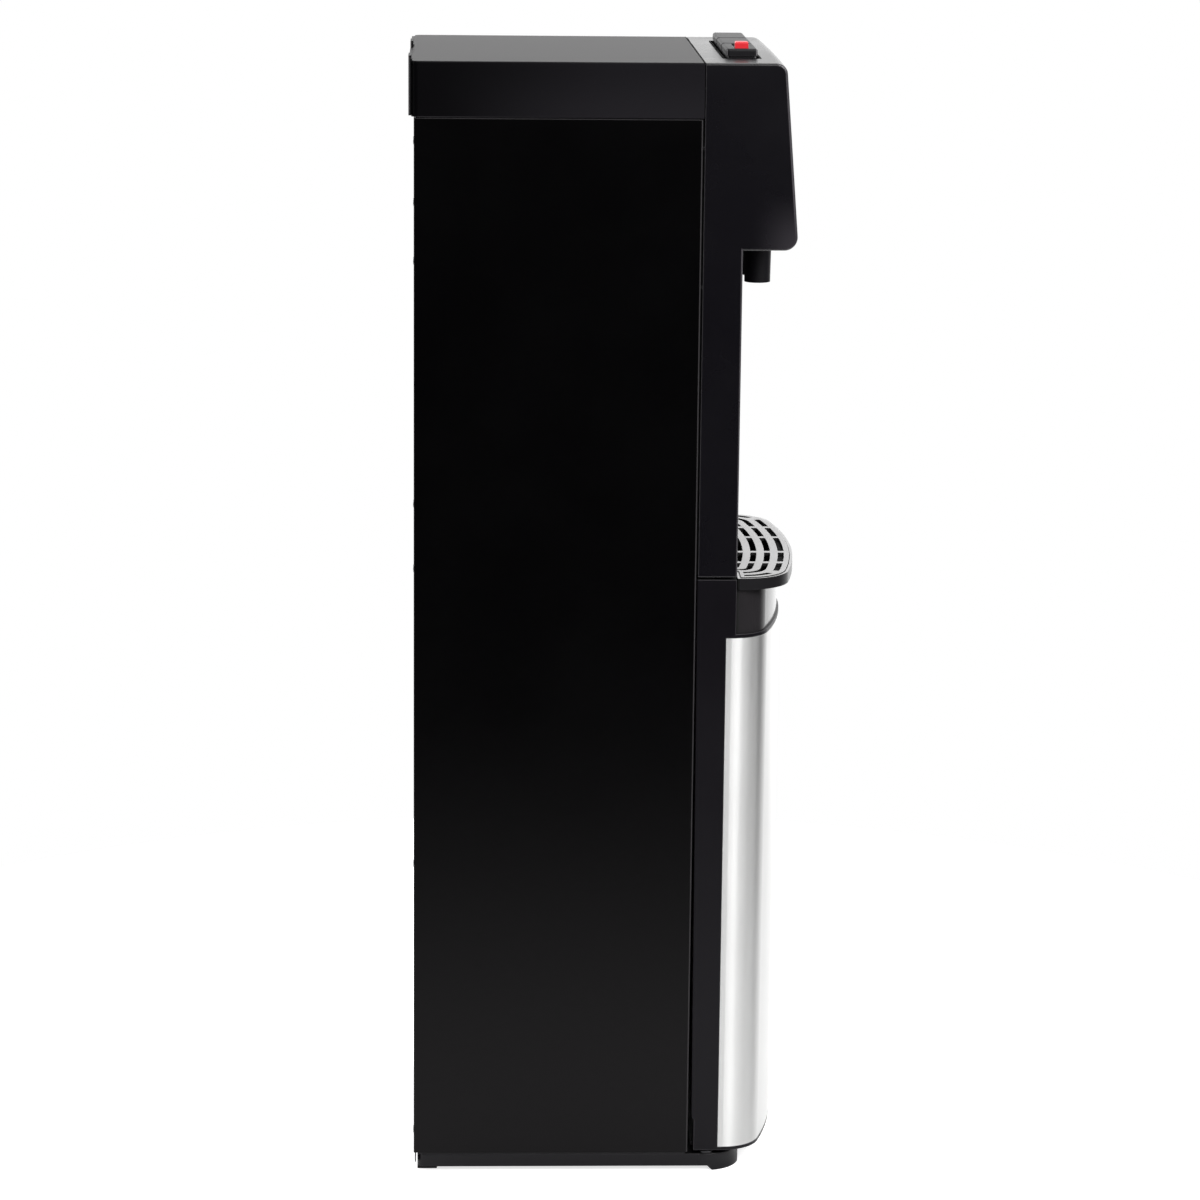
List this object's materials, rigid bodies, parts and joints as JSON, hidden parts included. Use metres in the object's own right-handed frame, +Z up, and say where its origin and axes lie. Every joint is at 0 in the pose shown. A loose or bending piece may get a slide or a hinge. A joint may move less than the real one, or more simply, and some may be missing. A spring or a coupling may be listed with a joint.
{
  "type": "bottom load water cooler",
  "caption": "Free-standing bottom load water cooler with a hinged steel-faced door, drip tray, dispensing keys and nozzles over an alcove, and cooling and heating inside.",
  "frame": {"origin": "centre of the bounding box's footprint, on the floor that the rear feet and the base's front apron stand on", "axes": "+Z up, -Y the front with the door, keys and nozzles, +X the user's right when facing the front"},
  "size_m": [0.306, 0.3614, 1.0555],
  "materials": {
    "black_plastic": "fine grained moulded",
    "black_cap": "satin moulded",
    "black_housing": "satin moulded",
    "black_door": "satin moulded",
    "black_gloss": "glossy moulded",
    "black_panel": "semi-gloss black powder coat",
    "black_rubber": "matt",
    "grey_key": "glossy dark moulded",
    "red_plastic": "glossy red",
    "green_plastic": "glossy green",
    "white_plastic": "natural white moulded",
    "smoked_window": "smoked clear plastic",
    "stainless_steel": "horizontally brushed, satin",
    "tank_steel": "drawn, satin",
    "bare_steel": "zinc plated",
    "silver_grille": "silver grey moulded",
    "black_enamel": "gloss black enamel",
    "copper": "drawn copper tube",
    "white_foam": "expanded foam",
    "food_hose": "milky silicone",
    "circuit_board": "green laminate"
  },
  "bodies": {
    "cabinet": {"alcove_panel": "black_plastic", "band_heater": "tank_steel", "base": "black_plastic", "casing_screws": "bare_steel", "cold_tank": "tank_steel", "cold_tube": "food_hose", "compressor": "black_enamel", "compressor_mounts": "black_rubber", "condenser_brackets": "black_panel", "condenser_tube": "black_enamel", "condenser_wires": "black_enamel", "control_box": "black_plastic", "cord_inlet": "black_plastic", "dispense_valves": "white_plastic", "evaporator_coil": "copper", "filter_drier": "copper", "front_housing": "black_housing", "hinge_hardware": "bare_steel", "hot_tank": "tank_steel", "hot_tank_jacket": "white_foam", "hot_tube": "food_hose", "indicator_window": "smoked_window", "insulation_lid": "white_foam", "key_bezel": "black_gloss", "key_switch_board": "circuit_board", "magnet_catch": "black_plastic", "nozzle_cold": "black_plastic", "nozzle_hot": "black_plastic", "nozzle_room": "black_plastic", "probe": "white_plastic", "probe_hanger": "white_plastic", "probe_hose": "food_hose", "pump": "white_plastic", "rear_feet": "black_rubber", "rear_panel": "black_panel", "rear_top_cover": "black_cap", "refrigerant_tubes": "copper", "room_tube": "food_hose", "shelf_deck": "bare_steel", "side_panel_left": "black_panel", "side_panel_right": "black_panel", "supply_tube": "food_hose", "switch_panel": "black_plastic", "tank_insulation": "white_foam", "tank_shelf": "bare_steel", "top_cap": "black_cap"},
    "door": {"door_frame": "black_door", "door_skin": "stainless_steel", "tray_holder": "black_gloss", "door_bushes": "white_plastic", "strike_plate": "bare_steel"},
    "drip_tray": {"drip_tray": "black_gloss"},
    "drip_grille": {"drip_grille": "silver_grille"},
    "key_hot": {"key_hot": "grey_key"},
    "key_room": {"key_room": "grey_key"},
    "key_cold": {"key_cold": "grey_key"},
    "child_lock": {"child_lock": "red_plastic"},
    "rocker_hot": {"rocker_hot": "red_plastic"},
    "rocker_cold": {"rocker_cold": "green_plastic"},
    "drain_cap": {"drain_cap": "black_rubber"}
  },
  "joints": [
    {"name": "door_hinge", "type": "hinge", "parent": "cabinet", "child": "door", "pos_m": [-0.1475, -0.10175, 0.0186], "axis": [0, 0, -1], "range_deg": [0, 105]},
    {"name": "tray_lift", "type": "slide", "parent": "door", "child": "drip_tray", "axis": [0, 0, 1], "range_m": [0, 0.06]},
    {"name": "grille_lift", "type": "slide", "parent": "drip_tray", "child": "drip_grille", "axis": [0, 0, 1], "range_m": [0, 0.03]},
    {"name": "key_hot_press", "type": "slide", "parent": "cabinet", "child": "key_hot", "axis": [0, 0, -1], "range_m": [0, 0.0035], "stiffness_N_per_m": 300, "springref_m": -0.002},
    {"name": "key_room_press", "type": "slide", "parent": "cabinet", "child": "key_room", "axis": [0, 0, -1], "range_m": [0, 0.0035], "stiffness_N_per_m": 300, "springref_m": -0.002},
    {"name": "key_cold_press", "type": "slide", "parent": "cabinet", "child": "key_cold", "axis": [0, 0, -1], "range_m": [0, 0.0035], "stiffness_N_per_m": 300, "springref_m": -0.002},
    {"name": "child_lock_slide", "type": "slide", "parent": "key_hot", "child": "child_lock", "axis": [1, 0, 0], "range_m": [0, 0.012]},
    {"name": "rocker_hot_tilt", "type": "hinge", "parent": "cabinet", "child": "rocker_hot", "pos_m": [-0.04, 0.16885, 0.945], "axis": [1, 0, 0], "range_deg": [-18, 0]},
    {"name": "rocker_cold_tilt", "type": "hinge", "parent": "cabinet", "child": "rocker_cold", "pos_m": [-0.01, 0.16885, 0.945], "axis": [1, 0, 0], "range_deg": [-18, 0]},
    {"name": "drain_cap_draw", "type": "slide", "parent": "cabinet", "child": "drain_cap", "axis": [0, 1, 0], "range_m": [0, 0.012]}
  ]
}
